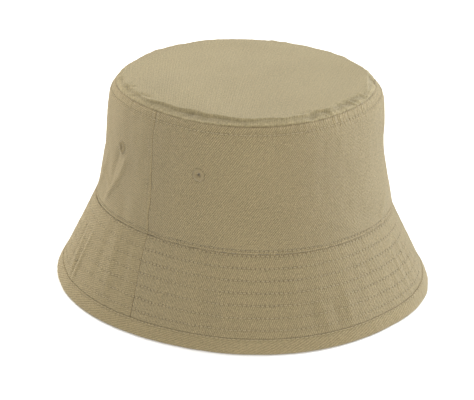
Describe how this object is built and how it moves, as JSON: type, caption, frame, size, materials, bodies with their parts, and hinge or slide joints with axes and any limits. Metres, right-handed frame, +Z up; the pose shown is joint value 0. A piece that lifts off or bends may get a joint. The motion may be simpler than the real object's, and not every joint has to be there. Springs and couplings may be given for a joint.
{
  "type": "bucket hat",
  "caption": "Soft bucket hat in khaki cotton drill: flat oval top panel, tapered crown with stitched side seams and eyelets, and a sloping quilted brim with a bound edge.",
  "frame": {"origin": "on the surface the hat stands on, under the middle of the brim's outline", "axes": "+Z up through the crown, -Y to the front of the hat, +X to the wearer's left"},
  "size_m": [0.2356, 0.2506, 0.1378],
  "materials": {
    "drill": "matte cotton drill twill, khaki stone",
    "band_cloth": "matte cotton twill, khaki",
    "tape_cloth": "matte cotton bias tape, khaki",
    "stiffener_cloth": "matte non-woven interlining, off-white",
    "thread": "spun polyester sewing and embroidery thread, khaki",
    "label_satin": "woven satin ribbon, off-white, blank"
  },
  "bodies": {
    "hat": {"crown_tip": "drill", "crown_side_front": "drill", "crown_side_rear": "drill", "brim_upper_front": "drill", "brim_upper_rear": "drill", "brim_under_front": "drill", "brim_under_rear": "drill", "brim_edge_binding": "drill", "sweatband": "band_cloth", "tip_seam_tape": "tape_cloth", "side_seam_tape_left": "tape_cloth", "side_seam_tape_right": "tape_cloth", "brim_stiffener": "stiffener_cloth", "brim_stitch_row_1": "thread", "brim_stitch_row_2": "thread", "brim_stitch_row_3": "thread", "brim_stitch_row_4": "thread", "brim_stitch_row_5": "thread", "brim_stitch_row_6": "thread", "brim_stitch_row_7": "thread", "binding_stitching": "thread", "crown_upper_stitching": "thread", "crown_lower_stitching": "thread", "side_stitching_left": "thread", "side_stitching_right": "thread", "eyelet_left_front": "thread", "eyelet_left_rear": "thread", "eyelet_right_front": "thread", "eyelet_right_rear": "thread"},
    "label_tab": {"care_label": "label_satin"}
  },
  "joints": [
    {"name": "label_swing", "type": "hinge", "parent": "hat", "child": "label_tab", "pos_m": [0, 0.08971, 0.0858], "axis": [-1, 0, 0], "range_deg": [-5, 160]}
  ]
}
